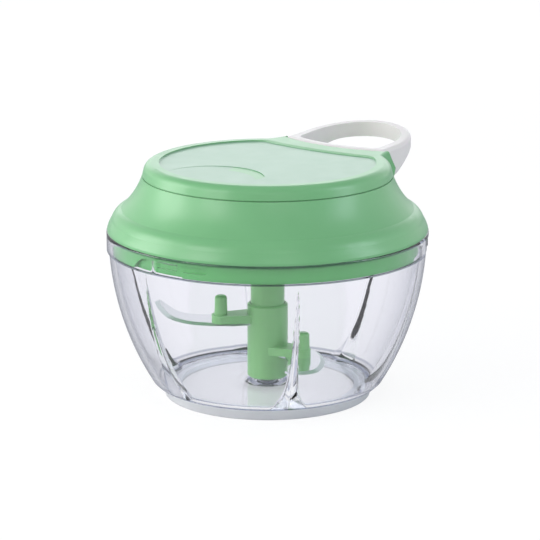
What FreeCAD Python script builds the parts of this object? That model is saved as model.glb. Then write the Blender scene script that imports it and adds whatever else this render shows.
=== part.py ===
import FreeCAD, Part
import math
import os

# Pull-string food chopper.
# Millimetres. The origin is the centre of the base on the bowl's axis, +Z is up,
# and +X is the way the handle is pulled.

# Bowl
bowl_depth = 60.8
floor_t = 2.4
floor_lift = 2.2
floor_fillet = 8.0
wall_t = 2.2
wall_top_r = 61.6
wall_arc_r = 110.9
wall_arc_drop = 1.2
corner_h = 2.0
corner_bulge = 0.4
collar_step = 0.7
collar_h = 7.4
rim_round = 0.5
rib_count = 6
rib_first_deg = 48.8
rib_span = 49.4
rib_tip = 0.8
rib_w = 4.6
rib_flare_w = 37.0
rib_depth = 3.2
rib_flare_depth = 4.0
rib_flare_h = 5.2
rib_seat = 1.1

# Base ring under the bowl
ring_h = 4.2
ring_sole_t = 0.9
ring_wall = 1.0
ring_flare = 1.3
ring_lip = 2.2
ledge_reveal = 0.4
tongue_inset = 6.2
tongue_t = 2.4
tongue_clear = 0.1

# Bayonet between bowl and lid
lug_count = 3
lug_first_deg = 180.0
lug_arc_deg = 8.3
lug_h = 2.1
lug_out = 1.2
lug_below_rim = 4.65
window_arc_deg = 14.0
window_depth = 0.7
window_top_drop = 1.8
window_shift_deg = 1.7
groove_depth = 1.3
entry_left_deg = 6.3
entry_right_deg = 2.35
arch_deg = 7.0
arch_bow = 1.1
slot_deg = 10.0
slot_gap = 0.25

# Blade pin
pin_r = 2.0
pin_h = 18.0
pin_flange_out = 1.5
pin_flange_t = 0.8
pin_foot = 0.4
pin_dome = 1.2
pin_boss_wall = 2.0
pin_boss_h = 1.5

# Clearances
rest_gap = 0.3
running_clear = 0.05
press_clear = 0.02

# Blade hub
hub_h = 29.3
hub_wall = 2.6
hub_chamfer = 0.6
hex_af = 9.0
hex_len = 7.0
hex_clear = 0.1
arm_t = 3.15
arm_lead_w = 4.2
arm_trail_w = 7.2
upper_arm_deg = 132.5
upper_arm_z = 22.05
upper_pad_wall = 1.1
upper_post_at = (18.3, 1.1)
upper_post_h = 7.65
lower_arm_deg = -82.0
lower_arm_z = 10.1
lower_pad_wall = 0.35
lower_post_at = (16.6, -1.2)
lower_post_h = 6.6
post_r = 2.55
post_draft = 0.2
post_round = 1.2
key_at = (12.6, 0.0)
key_r = 1.5

# Blades, drawn along their arm. The cutting edge is a chain of arcs.
blade_t = 0.9
bevel_w = 1.7
blade_root_in = 0.5
blade_root_w = 3.4
upper_edge = [(13.6, 4.6), (19.3, 3.7), (25.0, 3.7), (34.4, 2.6), (39.4, -2.8), (42.3, -12.5), (43.9, -24.6)]
upper_back = [(41.3, -25.2), ((39.4, -20.0), (36.6, -14.5)), ((34.1, -10.5), (30.1, -8.8)),
              (21.5, -10.4), ((17.0, -9.0), (13.0, -5.2))]
upper_bend_x = 22.4
upper_rise_deg = 7.0
lower_edge = [(17.1, 9.85), (25.4, 0.2), (29.8, -11.7), (29.2, -17.1), (25.4, -20.7)]
lower_back = [((22.7, -22.0), (20.0, -21.6)), ((17.2, -15.6), (14.6, -9.0)), (10.4, -4.4)]

# Drive shaft
tube_step = 1.4
tube_bore_r = 2.6
tube_bore_h = 31.6
pilot_depth = 2.4
pilot_clear = 0.15
journal_r = 5.0
drive_step = 0.5
drive_flat = 1.0
drive_clear = 0.1

# Lid body
skirt_clear = 0.4
skirt_h = 7.1
skirt_t = 2.6
flange_in = 0.3
flange_h = 0.9
crease_low_in = 1.6
crease_low_h = 4.3
crease_high_in = 5.5
crease_high_h = 8.4
seam_in = 13.7
seam_groove = 0.5
flange_bow = 0.15
crease_bow = 0.65
bell_bow = -0.95
lid_wall = 2.2
shoulder_t = 2.5
lid_floor_drop = 3.2
lid_floor_t = 2.0
boss_wall = 2.4
boss_h = 5.3
bush_t = 2.0
bush_flange_out = 2.0
bush_flange_t = 0.6
track_t = 1.2
bridge_post_r = 3.75
bridge_post_circle_r = 33.0
bridge_post_first_deg = 60.0
bridge_posts = 3
post_rib_t = 1.8
post_rib_h = 12.0

# Clutch wheel under the reel
clutch_t = 3.2
clutch_hub_r = 6.5
clutch_disc_r = 11.0
clutch_disc_t = 1.6
clutch_arms = 3
clutch_arm_gap = 1.6
clutch_arm_t = 1.3
clutch_arm_h = 2.4
clutch_arm_deg = 78.0
clutch_root_deg = 10.0
pawl_deg = 4.5
pawl_gap = 0.5
pawl_gap_deg = 1.2
washer_t = 0.5
washer_r = 4.2
screw_r = 1.3
screw_len = 9.0
screw_head_r = 2.8
screw_head_t = 1.4
screw_head_round = 0.55
recess_w = 0.8
recess_share = 0.6
recess_depth = 0.8
screw_clear = 0.15

# Reel
reel_clear = 0.7
ratchet_teeth = 24
ratchet_tip_r = 16.3
ratchet_tooth = 1.5
ratchet_wall = 1.7
reel_skirt_h = 6.4
web_t = 1.6
reel_hub_wall = 2.45
reel_hub_h = 1.5
pocket_r = 17.2
pocket_wall = 1.6
pocket_h = 7.5
reel_rim = 4.7
reel_rim_t = 1.0
cover_disc_t = 1.0
cover_disc_lap = 0.6
groove_w = 3.8

# Recoil spring and its arbor
spring_t = 0.3
spring_turns = 8
arbor_journal_r = 3.5
arbor_step = 1.0
arbor_slot = 0.8
arbor_tenon_r = 3.2
arbor_tenon_af = 5.0
arbor_head_out = 1.2
arbor_head_t = 0.8
arbor_foot = 0.4

# Bridge plate over the reel
bridge_t = 2.2
bridge_gap = 0.5
bridge_disc_r = 12.0
bridge_arm_w = 9.0
bridge_fillet = 3.0

# String, eyelet and knot
string_d = 1.2
string_clear = 0.2
coil_build = 2.2
coil_gap = 0.3
coil_side = 0.1
string_bend_r = 5.0
string_bend_back = 1.9
eyelet_r = 2.5
eyelet_bore_r = 1.1
eyelet_flange_out = 1.2
eyelet_flange_t = 1.0
eyelet_round = 0.4
knot_r = 2.0
knot_len = 3.2
knot_round = 0.9
knot_pocket_clear = 0.6
knot_pocket_depth = 2.3
cord_hole_clear = 0.4

# Top cover
cover_t = 2.2
cover_side_h = 4.9
cover_head_gap = 0.5
cover_draft = 1.2
cover_round = 3.4
field_in = 5.3
field_depth = 0.6
field_round = 0.28
field_margin = 8.9
ledge_bow_r = 140.0
ledge_corner = 7.0
ledge_slope_w = 1.8
ledge_slope_h = 0.3
snap_gap = 0.5
snap_t = 1.6
snap_h = 2.4

# Swoosh in the field: a curved finger mark that deepens from its tip to its broad end
swoosh_tip = (-34.9, 20.6)
swoosh_outer = ((-14.2, 7.2), (-18.6, -12.6))
swoosh_hook = ((-22.3, -15.4), (-27.0, -15.2))
swoosh_inner = (-20.0, 0.5)
swoosh_tip_depth = 0.03
swoosh_tilt_deg = 0.5

# Handle and its dock in the lid
bar_x = 38.0
bar_arc_r = 62.5
bar_t = 3.7
handle_half_w = 24.0
handle_side_w = 4.5
handle_len = 40.2
handle_rim = 3.9
handle_straight = 16.0
handle_rise = 0.2
handle_root_h = 12.3
handle_edge = 1.6
handle_corner = 1.5
loop_corner = 3.5
loop_reach = 1.0
top_rise_deg = 9.5
top_rise_r = 190.0
under_straight = 9.5
under_rise_deg = 33.0
under_rise_r = 12.0
under_slope_len = 5.0
under_level_deg = -24.0
under_level_r = 30.0
dock_gap = 0.3
dock_side_gap = 0.6
dock_floor_gap = 0.6
dock_wall = 2.0
cheek_t = 2.4
cheek_inset = 1.2

# Ears of the lid, one at each side of the handle
ear_root = (33.5, 29.6)
ear_end_x = 49.5
ear_end_t = 1.0
ear_bow = 1.6
ear_top_x = 44.6
ear_knee_drop = 7.5
ear_lean = 4.65
ear_foot_drop = 14.7
ear_foot_back = 2.05
ear_round = 0.9

# Heights and radii that follow from the sizes above
floor_z = floor_lift + floor_t
rim_z = floor_z + bowl_depth
collar_z = rim_z - collar_h
wall_arc_z = rim_z - wall_arc_drop
collar_r = wall_top_r + collar_step
collar_in_r = collar_r - wall_t
corner_z = ring_h + corner_h
base_r = wall_top_r - wall_arc_r + math.sqrt(wall_arc_r ** 2 - (corner_z - wall_arc_z) ** 2)
tongue_r = base_r - tongue_inset
tongue_in_r = tongue_r - tongue_t
ring_foot_r = tongue_r + tongue_clear + ring_wall
ring_top_r = ring_foot_r + ring_flare
ring_in_r = tongue_in_r - tongue_clear - ring_lip
hex_r = hex_af / math.sqrt(3)
socket_r = (hex_af + 2 * hex_clear) / math.sqrt(3)
hub_r = socket_r + hub_wall
tube_r = hex_r + tube_step
hub_z = floor_z + pin_boss_h + rest_gap
hub_top = hub_z + hub_h
pilot_z = hub_top - pilot_depth
socket_z = pilot_z - hex_len
pin_top = floor_z + pin_h
lug_z = rim_z - lug_below_rim
skirt_z = rim_z - skirt_h
skirt_r = collar_in_r - skirt_clear
skirt_in_r = skirt_r - skirt_t
flange_r = collar_r - flange_in
seam_r = flange_r - seam_in
lid_floor_z = rim_z - lid_floor_drop
lid_under_z = lid_floor_z - lid_floor_t
bush_r = journal_r + running_clear + bush_t
boss_r = bush_r + boss_wall
boss_top = lid_floor_z + boss_h
clutch_z = boss_top + bush_flange_t + rest_gap
clutch_top = clutch_z + clutch_t
drive_r = journal_r - drive_step
drive_af = 2 * (drive_r - drive_flat)
web_z = clutch_top + washer_t + screw_head_t + reel_clear
reel_z = web_z - reel_skirt_h
ratchet_root_r = ratchet_tip_r + ratchet_tooth
reel_skirt_r = ratchet_root_r + ratchet_wall
pocket_z = web_z + web_t
pocket_top = pocket_z + pocket_h
reel_hub_top = pocket_z + reel_hub_h
reel_top = pocket_top + cover_disc_t
groove_top = reel_top - reel_rim_t
groove_z = groove_top - groove_w
groove_root_r = pocket_r + pocket_wall
reel_rim_r = groove_root_r + reel_rim
arbor_r = arbor_journal_r + arbor_step
arbor_z = reel_hub_top + rest_gap
coil_r = groove_root_r + coil_build
string_r = string_d / 2
string_z = groove_top - string_clear - string_r
bridge_z = reel_top + bridge_gap
bridge_top = bridge_z + bridge_t
cover_under = bridge_top + screw_head_t + cover_head_gap
field_z = cover_under + cover_t
top_z = field_z + field_depth
seam_z = top_z - cover_side_h
cover_top_r = seam_r - cover_draft
bore_r = seam_r - lid_wall
snap_r = bore_r - snap_gap
handle_top = top_z + handle_rise
handle_under = handle_top - handle_root_h
bar_centre_x = bar_x + bar_arc_r
handle_tip_x = bar_x + handle_len
loop_half_w = handle_half_w - handle_side_w
dock_z = handle_under - dock_floor_gap
dock_arc_r = bar_arc_r + dock_gap
dock_back_r = dock_arc_r + dock_wall
dock_half_w = handle_half_w + dock_side_gap
dock_outer_w = dock_half_w + cheek_t
dock_face_x = bar_x - dock_gap
mouth_x = dock_face_x - dock_wall - eyelet_flange_t
knot_x = bar_x + bar_t - knot_pocket_depth
field_r = cover_top_r - field_in
ledge_centre_x = bar_x - dock_gap - field_margin + ledge_bow_r

UP = FreeCAD.Vector(0, 0, 1)
ALONG = FreeCAD.Vector(1, 0, 0)
ORIGIN = FreeCAD.Vector(0, 0, 0)
FAR = 4 * collar_r


def level(z):
    """Plane points as a plan at one height."""
    return lambda a, b: FreeCAD.Vector(a, b, z)


def section(a, b):
    """Plane points as radius and height in the XZ plane."""
    return FreeCAD.Vector(a, 0, b)


def wire(points, place):
    """A closed wire through plane points. A pair of points is an arc: its middle, then its end."""
    edges = []
    here = place(*points[0])
    for step in list(points[1:]) + [points[0]]:
        if isinstance(step[0], tuple):
            middle, end = place(*step[0]), place(*step[1])
            edges.append(Part.Arc(here, middle, end).toShape())
        else:
            end = place(*step)
            if end.distanceToPoint(here) > 1e-6:
                edges.append(Part.makeLine(here, end))
        here = end
    return Part.Wire(edges)


def bowed(a, b, rise):
    """An arc from a to b that stands off its chord by rise, to the right of the way."""
    dx, dy = b[0] - a[0], b[1] - a[1]
    chord = math.hypot(dx, dy)
    return ((a[0] + b[0]) / 2 + rise * dy / chord, (a[1] + b[1]) / 2 - rise * dx / chord), b


def inset(points, depth):
    """A half section's outline with each point moved towards the axis."""
    moved = []
    for step in points:
        if isinstance(step[0], tuple):
            moved.append(tuple((r - depth, z) for r, z in step))
        else:
            moved.append((step[0] - depth, step[1]))
    return moved


def swing(start, heading_deg, turn_deg, radius):
    """An arc that leaves start at a heading and turns by an angle, left if it is positive."""
    side = math.copysign(radius, turn_deg)
    centre = (start[0] - side * math.sin(math.radians(heading_deg)),
              start[1] + side * math.cos(math.radians(heading_deg)))

    def at(turned_deg):
        angle = math.radians(heading_deg + turned_deg)
        return centre[0] + side * math.sin(angle), centre[1] - side * math.cos(angle)

    return at(turn_deg / 2), at(turn_deg)


def onward(start, heading_deg, length):
    """The end of a straight run from start."""
    angle = math.radians(heading_deg)
    return start[0] + length * math.cos(angle), start[1] + length * math.sin(angle)


def turned(points):
    """A body of revolution about the axis from its half section."""
    return Part.Face(wire(points, section)).revolve(ORIGIN, UP, 360)


def plate(points, low, high):
    """A plan outline raised from one height to another."""
    return Part.Face(wire(points, level(low))).extrude(FreeCAD.Vector(0, 0, high - low))


def disc(radius, low, high, x=0.0, y=0.0):
    return Part.makeCylinder(radius, high - low, FreeCAD.Vector(x, y, low))


def ring(inner, outer, low, high):
    return disc(outer, low, high).cut(disc(inner, low, high))


def bar(radius, x0, x1, z):
    """A round bar along X on the handle's centre plane."""
    return Part.makeCylinder(radius, x1 - x0, FreeCAD.Vector(x0, 0, z), ALONG)


def slab(x0, x1, half_width, low, high):
    return Part.makeBox(x1 - x0, 2 * half_width, high - low, FreeCAD.Vector(x0, -half_width, low))


def turn(shape, degrees):
    copy = shape.copy()
    copy.rotate(ORIGIN, UP, degrees)
    return copy


def around(shape, count, first_deg):
    """Equal copies about the axis."""
    return [turn(shape, first_deg + 360.0 / count * k) for k in range(count)]


def sector(inner, outer, low, high, from_deg, to_deg):
    """A piece of a ring between two directions."""
    wedge = Part.makeCylinder(outer, high - low, FreeCAD.Vector(0, 0, low), UP, to_deg - from_deg)
    return turn(wedge.cut(disc(inner, low, high)), from_deg)


def rounded(shape, radius, *rings):
    """Round the circular edges that run through the given radii and heights."""
    picked = []
    for edge in shape.Edges:
        spot = edge.Vertexes[0].Point
        for r, z in rings:
            near = math.hypot(math.hypot(spot.x, spot.y) - r, spot.z - z) < 1e-3
            if near and len(edge.Vertexes) == 1 and hasattr(edge.Curve, "Radius"):
                picked.append(edge)
    return shape.makeFillet(radius, picked)


def rounded_uprights(shape, radius, chosen):
    """Round the upright edges whose foot point is chosen."""
    picked = [edge for edge in shape.Edges
              if len(edge.Vertexes) == 2 and abs(edge.tangentAt(edge.FirstParameter).z) > 0.99
              and chosen(edge.Vertexes[0].Point)]
    return shape.makeFillet(radius, picked)


def hexagon(across_flats, low, high):
    corner = across_flats / math.sqrt(3)
    points = [(corner * math.cos(math.radians(60 * k)), corner * math.sin(math.radians(60 * k)))
              for k in range(6)]
    return plate(points, low, high)


def flatted(radius, across_flats, low, high):
    """A round bar with two flats."""
    return disc(radius, low, high).common(slab(-radius, radius, across_flats / 2, low, high))


def screw(head_z):
    """A pan head screw that points down, with its head on a face at head_z."""
    shank = disc(screw_r - press_clear, head_z - screw_len, head_z)
    head_top = head_z + screw_head_t
    head = rounded(disc(screw_head_r, head_z, head_top), screw_head_round, (screw_head_r, head_top))
    bit_r = screw_head_r * recess_share
    for side in (0, 90):
        bit = slab(-bit_r, bit_r, recess_w / 2, head_top - recess_depth, head_top)
        head = head.cut(turn(bit, side))
    return shank.fuse(head).removeSplitter()


# Bowl and what is fixed to it

def wall_r(z, inset=0.0):
    """Radius of the bowl's outer wall at a height, or of a surface inset from it."""
    arc = wall_arc_r - inset
    return wall_top_r - wall_arc_r + math.sqrt(arc * arc - (z - wall_arc_z) ** 2)


def bowl_outside():
    seat_r = ring_top_r + ledge_reveal
    middle = (corner_z + collar_z) / 2
    tongue_z = ring_sole_t + tongue_clear
    return turned([
        (0, floor_lift), (tongue_in_r, floor_lift), (tongue_in_r, tongue_z), (tongue_r, tongue_z),
        (tongue_r, ring_h), (seat_r, ring_h),
        bowed((seat_r, ring_h), (base_r, corner_z), corner_bulge),
        ((wall_r(middle), middle), (wall_r(collar_z), collar_z)),
        (collar_r, collar_z), (collar_r, rim_z), (0, rim_z)])


def bowl_inside():
    low_r, ledge_r = wall_r(floor_z, wall_t), wall_r(collar_z, wall_t)
    middle = (floor_z + collar_z) / 2
    space = turned([
        (0, floor_z), (low_r, floor_z), ((wall_r(middle, wall_t), middle), (ledge_r, collar_z)),
        (collar_in_r, collar_z), (collar_in_r, rim_z), (0, rim_z)])
    return rounded(space, floor_fillet, (low_r, floor_z))


def rib():
    """One inward rib: a narrow ridge that flares like a tent where it meets the floor."""
    low = floor_lift + floor_t / 4
    shares = [0.0, 0.04, 0.09, 0.17, 0.27, 0.4, 0.56, 0.73, 0.88, 1.0]
    top = floor_z + rib_span - rib_tip
    rings = []
    for share in shares:
        z = low + share * (top - low)
        fade = math.sqrt(min(1.0, 1 - (z - floor_z) / rib_span))
        flare = math.exp(-z / rib_flare_h)
        half = (rib_w * fade + rib_flare_w * flare) / 2
        depth = rib_depth * fade + rib_flare_depth * flare
        face_r = wall_r(max(z, floor_z), wall_t)
        back_r = face_r + rib_seat
        lean = half / face_r
        side_x, side_y = back_r * math.cos(lean), back_r * math.sin(lean)
        rings.append(wire([(face_r - depth, 0), (side_x, side_y), (back_r, 0), (side_x, -side_y)], level(z)))
    return Part.makeLoft(rings, True, False)


def pin_profile(grow):
    """Half section of the blade pin, grown by a clearance."""
    foot = floor_lift + pin_foot
    flange_top = foot + pin_flange_t + grow
    flange = pin_r + pin_flange_out + grow
    return [(0, foot), (flange, foot), (flange, flange_top), (pin_r + grow, flange_top),
            (pin_r + grow, pin_top), (0, pin_top)]


def make_bowl():
    outside = bowl_outside()
    shell = outside.cut(bowl_inside())
    shell = rounded(shell, rim_round, (collar_r, rim_z), (collar_in_r, rim_z))
    shell = shell.fuse([one.common(outside) for one in around(rib(), rib_count, rib_first_deg)])
    shell = shell.fuse(disc(pin_r + pin_flange_out + pin_boss_wall, floor_lift, floor_z + pin_boss_h))
    lug = sector(collar_in_r - lug_out, collar_in_r + wall_t / 4, lug_z, lug_z + lug_h,
                 -lug_arc_deg / 2, lug_arc_deg / 2)
    shell = shell.fuse(around(lug, lug_count, lug_first_deg))
    window = sector(collar_r - window_depth, 2 * collar_r, collar_z - wall_t, rim_z - window_top_drop,
                    -window_arc_deg / 2, window_arc_deg / 2)
    shell = shell.cut(around(window, lug_count, lug_first_deg + window_shift_deg))
    return shell.cut(turned(pin_profile(press_clear))).removeSplitter()


def make_base_ring():
    groove_in, groove_out = tongue_in_r - tongue_clear, tongue_r + tongue_clear
    return turned([
        (ring_in_r, 0), (ring_foot_r, 0), (ring_top_r, ring_h), (groove_out, ring_h),
        (groove_out, ring_sole_t), (groove_in, ring_sole_t), (groove_in, floor_lift),
        (ring_in_r, floor_lift)])


def make_blade_pin():
    return rounded(turned(pin_profile(0.0)), pin_dome, (pin_r, pin_top))


# Blade set

def moved_in(chain, depth):
    """A cutting edge moved into the blade. The blade lies to the right of the way along it."""
    moved = []
    for k, (x, y) in enumerate(chain):
        before, after = chain[max(k - 1, 0)], chain[min(k + 1, len(chain) - 1)]
        dx, dy = after[0] - before[0], after[1] - before[1]
        run = math.hypot(dx, dy)
        moved.append((x + depth * dy / run, y - depth * dx / run))
    return moved


def blade_plan(chain, back, root_x):
    """The outline of a blade: root tab, cutting edge in arcs, then its back."""
    arcs = [(chain[k], chain[k + 1]) for k in range(1, len(chain) - 1, 2)]
    half = blade_root_w
    return [(root_x, half), chain[0]] + arcs + list(back) + [(root_x, -half)]


def blade(chain, back, root_x, low):
    """A flat steel blade, ground on top along its cutting edge."""
    foot = wire(blade_plan(chain, back, root_x), level(low))
    crown = wire(blade_plan(moved_in(chain, bevel_w), back, root_x), level(low + blade_t))
    return Part.makeLoft([foot, crown], True, True)


def bent_up(flat, bend_x, rise_deg, low):
    """A flat blade with the part beyond bend_x raised by an angle."""
    inner = flat.common(slab(0, bend_x, FAR, low, low + blade_t))
    outer = flat.common(slab(bend_x, FAR, FAR, low, low + blade_t))
    outer.rotate(FreeCAD.Vector(bend_x, 0, low), FreeCAD.Vector(0, -1, 0), rise_deg)
    return inner.fuse(outer).removeSplitter()


def key_pin(radius, low, high):
    return disc(radius, low, high, *key_at)


def upper_blade():
    low = hub_z + upper_arm_z - blade_t
    shape = bent_up(blade(upper_edge, upper_back, socket_r + blade_root_in, low),
                    upper_bend_x, upper_rise_deg, low)
    return turn(shape.cut(key_pin(key_r, low, low + blade_t)), upper_arm_deg)


def lower_blade():
    low = hub_z + lower_arm_z - blade_t
    shape = blade(lower_edge, lower_back, pin_r + running_clear + hub_wall, low)
    return turn(shape.cut(key_pin(key_r, low, low + blade_t)), lower_arm_deg)


def touch_deg(point, centre, radius, side):
    """Direction from a circle's centre to where a line from a point touches the circle."""
    dx, dy = centre[0] - point[0], centre[1] - point[1]
    swing_deg = math.degrees(math.acos(radius / math.hypot(dx, dy)))
    return math.degrees(math.atan2(dy, dx)) + side * (180 - swing_deg)


def hub_arm(low, post_at, post_h, pad_wall):
    """A tapered arm that ends round its upright post, and the key that holds the blade under it."""
    pad_r = post_r + pad_wall
    trail, lead = (pin_r, -arm_trail_w), (pin_r, arm_lead_w)
    from_deg, to_deg = touch_deg(trail, post_at, pad_r, -1), touch_deg(lead, post_at, pad_r, 1)
    end = (onward(post_at, (from_deg + to_deg) / 2, pad_r), onward(post_at, to_deg, pad_r))
    arm = plate([trail, onward(post_at, from_deg, pad_r), end, lead], low, low + arm_t)
    top = low + arm_t
    post = Part.makeCone(post_r, post_r - post_draft, post_h, FreeCAD.Vector(post_at[0], post_at[1], top))
    rim = [e for e in post.Edges if len(e.Vertexes) == 1 and e.Vertexes[0].Z > top + post_h / 2]
    post = post.makeFillet(post_round, rim)
    return arm.fuse([post, key_pin(key_r - press_clear, low - blade_t, low)])


def make_blade_hub():
    sleeve = disc(hub_r, hub_z, hub_top)
    sleeve = sleeve.makeChamfer(hub_chamfer, [e for e in sleeve.Edges if len(e.Vertexes) == 1])
    upper = hub_arm(hub_z + upper_arm_z, upper_post_at, upper_post_h, upper_pad_wall)
    lower = hub_arm(hub_z + lower_arm_z, lower_post_at, lower_post_h, lower_pad_wall)
    hub = sleeve.fuse([turn(upper, upper_arm_deg), turn(lower, lower_arm_deg)])
    hub = hub.cut([
        disc(pin_r + running_clear, hub_z, pin_top + rest_gap),
        disc(tube_r + pilot_clear, pilot_z, hub_top),
        hexagon(hex_af + 2 * hex_clear, socket_z, pilot_z),
        upper_blade(), lower_blade()])
    return hub.removeSplitter()


# Lid body

def bell_side():
    """The lid's outside from the bowl's rim up to the seam."""
    start = (flange_r, rim_z + flange_h)
    low = (flange_r - crease_low_in, rim_z + crease_low_h)
    high = (flange_r - crease_high_in, rim_z + crease_high_h)
    seam = (seam_r, seam_z)
    return [(flange_r, rim_z), start, bowed(start, low, flange_bow), bowed(low, high, crease_bow),
            bowed(high, seam, bell_bow)]


def cover_side():
    """The lid's outside from the seam up to the top."""
    return [(seam_r, seam_z), (cover_top_r, top_z)]


def bell():
    high = (flange_r - crease_high_in - shoulder_t, rim_z + crease_high_h - shoulder_t / 2)
    shoulder = (skirt_in_r, rim_z + crease_low_h - shoulder_t / 4)
    inside = [(bore_r, seam_z), bowed((bore_r, seam_z), high, -bell_bow), shoulder,
              (skirt_in_r, lid_floor_z), (0, lid_floor_z)]
    under = [(0, lid_under_z), (skirt_in_r, lid_under_z), (skirt_in_r, skirt_z), (skirt_r, skirt_z),
             (skirt_r, rim_z)]
    return turned(under + bell_side() + inside)


def dock_space(arc_r, half_width, low, high):
    """The room behind the handle's curved bar, open outwards."""
    return disc(arc_r, low, high, bar_centre_x).common(slab(0, bar_centre_x, half_width, low, high))


def dock_block():
    """Floor, back wall and cheeks of the dock, still without its pocket."""
    low = dock_z - dock_wall
    outside = turned([(0, rim_z)] + inset(bell_side(), cheek_inset) + [(0, seam_z)])
    block = dock_space(dock_back_r, dock_outer_w, low, seam_z).common(outside)
    under_cover = dock_space(dock_back_r, dock_outer_w, seam_z, cover_under - rest_gap)
    return block.fuse(under_cover.common(disc(snap_r, seam_z, cover_under)))


def ears():
    """The lid's points at both sides of the handle, which lean outwards below their tops."""
    foot_z, knee_x = top_z - ear_foot_drop, ear_top_x + ear_lean
    end_w = dock_half_w + ear_end_t
    side = Part.Face(wire([(ear_root[0], top_z), (ear_top_x, top_z), (knee_x, top_z - ear_knee_drop),
                           (knee_x - ear_foot_back, foot_z), (ear_root[0], foot_z)],
                          lambda a, b: FreeCAD.Vector(a, -FAR, b)))
    near, far = (ear_root[0], -ear_root[1]), (ear_end_x, -end_w)
    plan = [near, bowed(near, far, -ear_bow), (ear_end_x, end_w), bowed((ear_end_x, end_w), ear_root, -ear_bow)]
    both = side.extrude(FreeCAD.Vector(0, 2 * FAR, 0)).common(plate(plan, foot_z, top_z))
    crest = [e for e in both.Edges if min(v.Z for v in e.Vertexes) > top_z - 1e-6
             and max(v.X for v in e.Vertexes) > ear_root[0] + 1.0]
    both = both.makeFillet(ear_round, crest)
    return both.cut(disc(bore_r, foot_z, cover_under))


def bayonet_groove():
    """The blind groove in the skirt: an arched entry over the lug, then a level slot with a round end."""
    half_lug = lug_arc_deg / 2
    left = half_lug + entry_left_deg
    right = half_lug + entry_right_deg
    slot_low, slot_top = lug_z - slot_gap, lug_z + lug_h + slot_gap
    foot = skirt_z - slot_gap
    radius = (slot_top - slot_low) / 2

    def across(degrees):
        return skirt_r * math.sin(math.radians(degrees))

    top_left, foot_left = (-across(left), slot_top), (-across(left + arch_deg), foot)
    end = across(right + slot_deg)
    outline = [
        foot_left, bowed(foot_left, top_left, -arch_bow), (end - radius, slot_top),
        ((end, slot_low + radius), (end - radius, slot_low)),
        (across(right), slot_low), (across(right), foot)]
    face = Part.Face(wire(outline, lambda a, b: FreeCAD.Vector(0, a, b)))
    return face.extrude(FreeCAD.Vector(FAR, 0, 0)).common(
        ring(skirt_r - groove_depth, 2 * skirt_r, foot, slot_top))


def bridge_post():
    """A screw post for the bridge plate with a rib out to the bell."""
    post = disc(bridge_post_r, lid_floor_z, bridge_z, bridge_post_circle_r)
    rib_end = flange_r - crease_high_in - shoulder_t
    brace = slab(bridge_post_circle_r, rib_end, post_rib_t / 2, lid_floor_z, lid_floor_z + post_rib_h)
    return post.fuse(brace)


def make_lid_body():
    body = bell()
    body = body.fuse([disc(boss_r, lid_floor_z, boss_top),
                      ring(reel_skirt_r - track_t, reel_skirt_r, lid_floor_z, reel_z - rest_gap)])
    body = body.fuse(around(bridge_post(), bridge_posts, bridge_post_first_deg))
    body = body.fuse(dock_block())
    body = body.cut([disc(tube_r + rest_gap, lid_under_z, lid_floor_z), disc(bush_r, lid_floor_z, boss_top)])
    pilot = disc(screw_r, bridge_top - screw_len - rest_gap, bridge_z, bridge_post_circle_r)
    body = body.cut(around(pilot, bridge_posts, bridge_post_first_deg))
    body = body.cut(bar(eyelet_r + press_clear, bridge_post_circle_r, bar_x, string_z))
    body = body.cut(around(bayonet_groove(), lug_count, lug_first_deg))
    body = body.cut(ring(seam_r - seam_groove, 2 * seam_r, seam_z - seam_groove, seam_z))
    body = body.fuse(ears().common(slab(0, FAR, FAR, 0, seam_z)))
    body = body.cut(dock_space(dock_arc_r, dock_half_w, dock_z, top_z))
    return body.removeSplitter()


def make_shaft_bush():
    bore = journal_r + running_clear
    flange = bush_r + bush_flange_out
    return turned([(bore, lid_floor_z), (bush_r - press_clear, lid_floor_z), (bush_r - press_clear, boss_top),
                   (flange, boss_top), (flange, boss_top + bush_flange_t), (bore, boss_top + bush_flange_t)])


# Top cover

def field_plan(bow_r):
    """Plan of the field: a round outline cut by the ledge's arc, with both corners rounded."""
    corner_r = field_r - ledge_corner
    x = (ledge_centre_x ** 2 - (bow_r + ledge_corner) ** 2 + corner_r ** 2) / (2 * ledge_centre_x)
    y = math.sqrt(corner_r ** 2 - x * x)
    rim_deg, ledge_deg = math.degrees(math.atan2(y, x)), -math.degrees(math.atan2(y, ledge_centre_x - x))
    rim = onward((x, y), rim_deg, ledge_corner)
    middle = onward((x, y), (rim_deg + ledge_deg) / 2, ledge_corner)
    ledge = onward((x, y), ledge_deg, ledge_corner)

    def across(point):
        return point[0], -point[1]

    return [across(ledge), (across(middle), across(rim)), ((-field_r, 0), rim), (middle, ledge),
            ((ledge_centre_x - bow_r, 0), across(ledge))]


def field_hollow():
    """The shallow field, rounded at its foot, whose ledge beside the handle ends in a slope."""
    slope_z = top_z - ledge_slope_h
    floor = plate(field_plan(ledge_bow_r), field_z, slope_z)
    foot = [e for e in floor.Edges if max(v.Z for v in e.Vertexes) < field_z + 1e-6]
    slope = Part.makeLoft([wire(field_plan(ledge_bow_r), level(slope_z)),
                           wire(field_plan(ledge_bow_r - ledge_slope_w), level(top_z))], True, True)
    return floor.makeFillet(field_round, foot).fuse(slope)


def swoosh():
    """The finger mark, tilted about its tip so that it deepens on the way to the hook."""
    low = field_z - swoosh_tip_depth
    outline = [swoosh_tip, swoosh_outer, swoosh_hook, (swoosh_inner, swoosh_tip)]
    mark = plate(outline, low, top_z)
    end = swoosh_hook[1]
    mark.rotate(FreeCAD.Vector(swoosh_tip[0], swoosh_tip[1], low),
                FreeCAD.Vector(swoosh_tip[1] - end[1], end[0] - swoosh_tip[0], 0), swoosh_tilt_deg)
    return mark


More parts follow.
